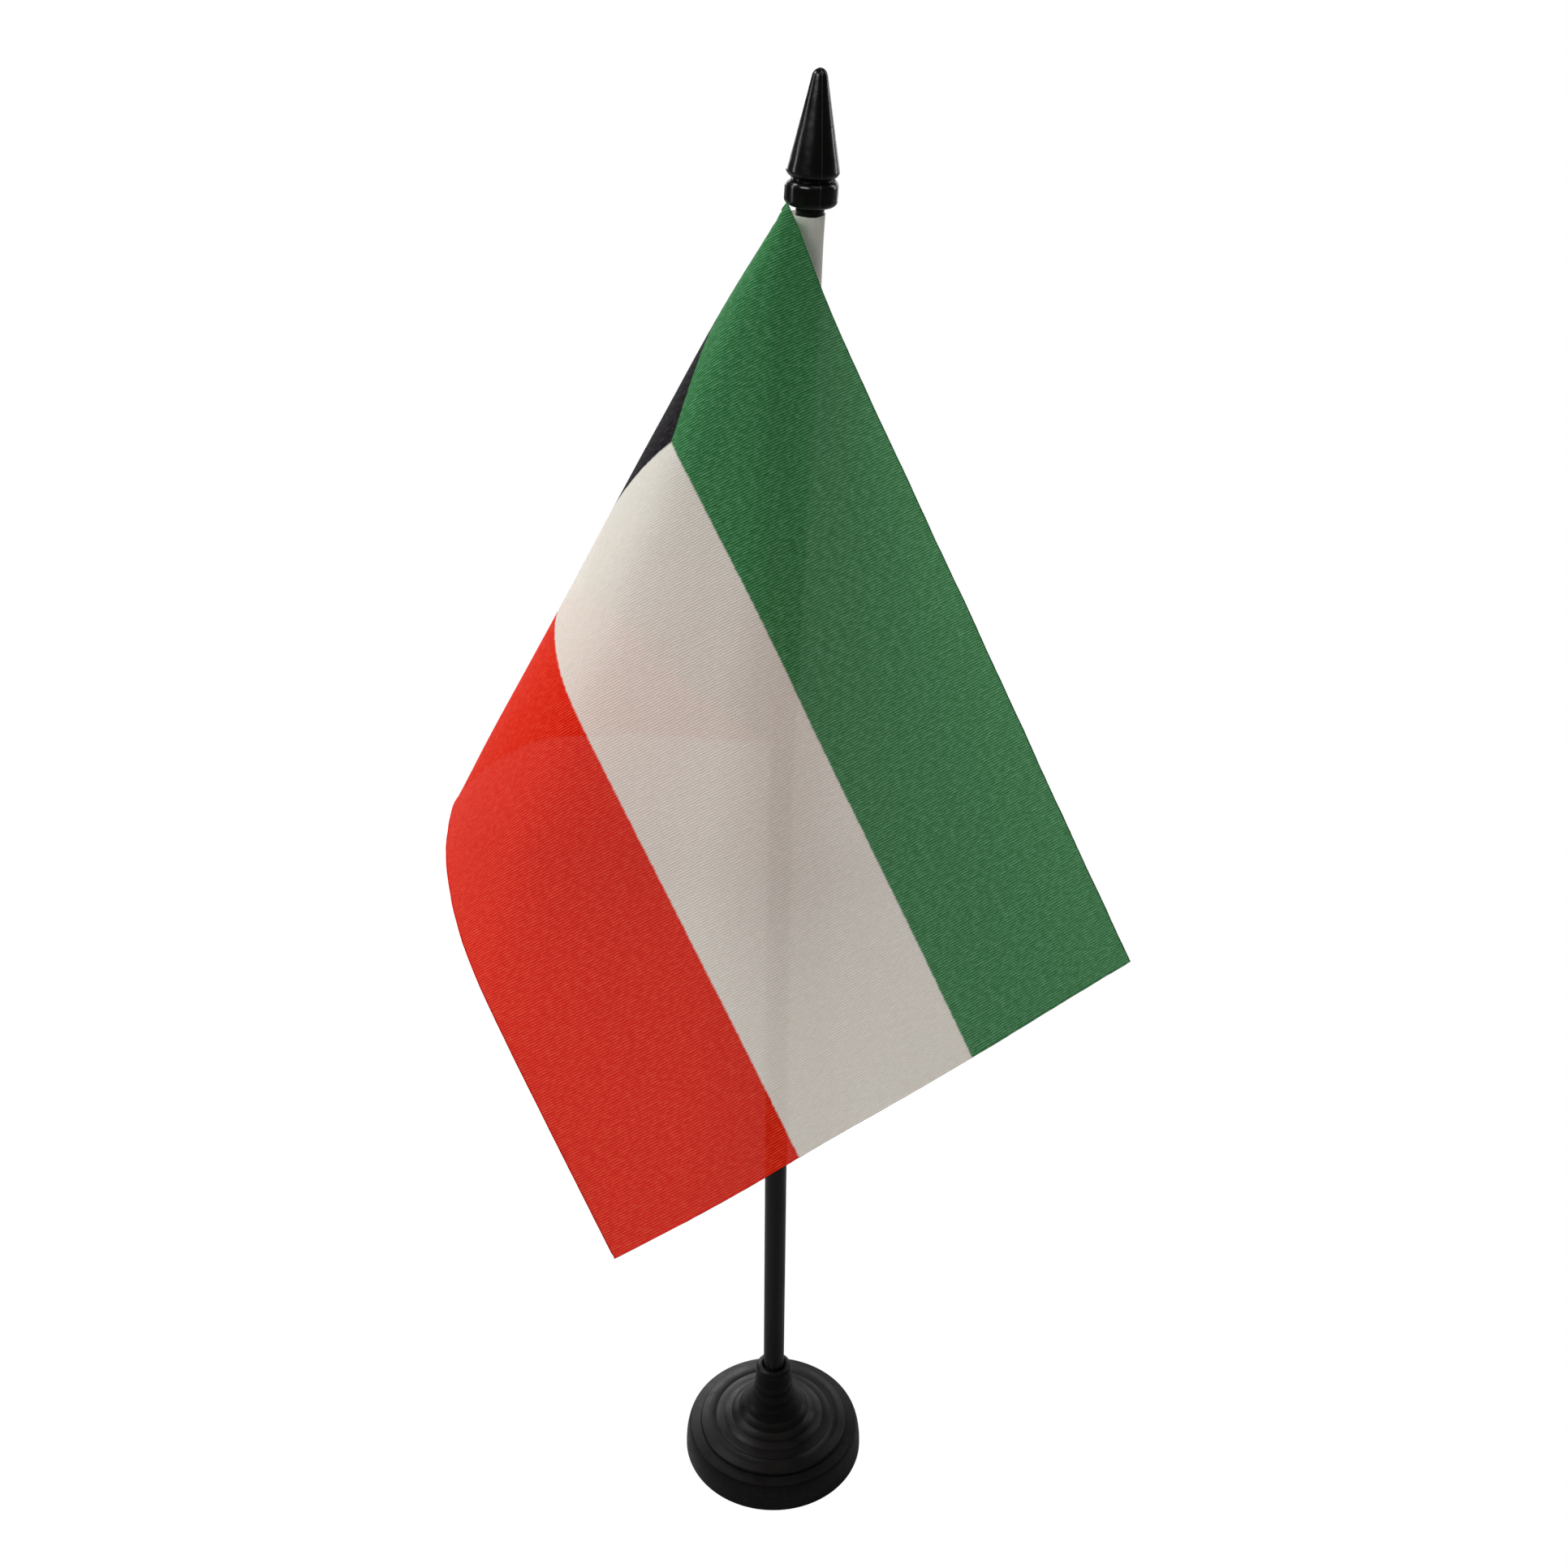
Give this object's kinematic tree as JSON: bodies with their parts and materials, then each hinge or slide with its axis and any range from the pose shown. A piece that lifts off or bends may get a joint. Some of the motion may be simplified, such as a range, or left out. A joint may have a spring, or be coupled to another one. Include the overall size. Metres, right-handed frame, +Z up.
{
  "type": "desk flag stand",
  "caption": "Small round moulded foot with a slender bent staff, a pointed finial and a limp striped table flag hanging from a sleeve.",
  "frame": {"origin": "on the staff's axis at the underside of the foot", "axes": "+Z up the staff; +Y away from the viewer; the flag hangs towards -X and -Y, and the staff leans towards +X at its top"},
  "size_m": [0.1162, 0.1178, 0.3145],
  "materials": {
    "base_plastic": "black moulded polystyrene, satin with fine flow marks",
    "staff_plastic": "black extruded plastic tube, semi-gloss with fine draw lines",
    "finial_plastic": "black moulded plastic, polished, with a fine parting line",
    "sleeve_cloth": "thin unprinted white polyester, translucent",
    "flag_cloth": "thin printed polyester with a fine rib, translucent, hot-cut edges"
  },
  "bodies": {
    "stand": {"base": "base_plastic"},
    "staff": {"pole": "staff_plastic"},
    "tip": {"finial": "finial_plastic"},
    "flag": {"flag_sleeve": "sleeve_cloth", "flag_cloth": "flag_cloth"}
  },
  "joints": [
    {"name": "staff_lift", "type": "slide", "parent": "stand", "child": "staff", "axis": [0, 0, 1], "range_m": [0, 0.018]},
    {"name": "finial_pull", "type": "slide", "parent": "staff", "child": "tip", "axis": [0.0568, 0, 0.9984], "range_m": [0, 0.008]},
    {"name": "flag_turn", "type": "hinge", "parent": "staff", "child": "flag", "pos_m": [0.00376, 0, 0.2915], "axis": [0.0366, 0, 0.9993], "continuous": true}
  ]
}
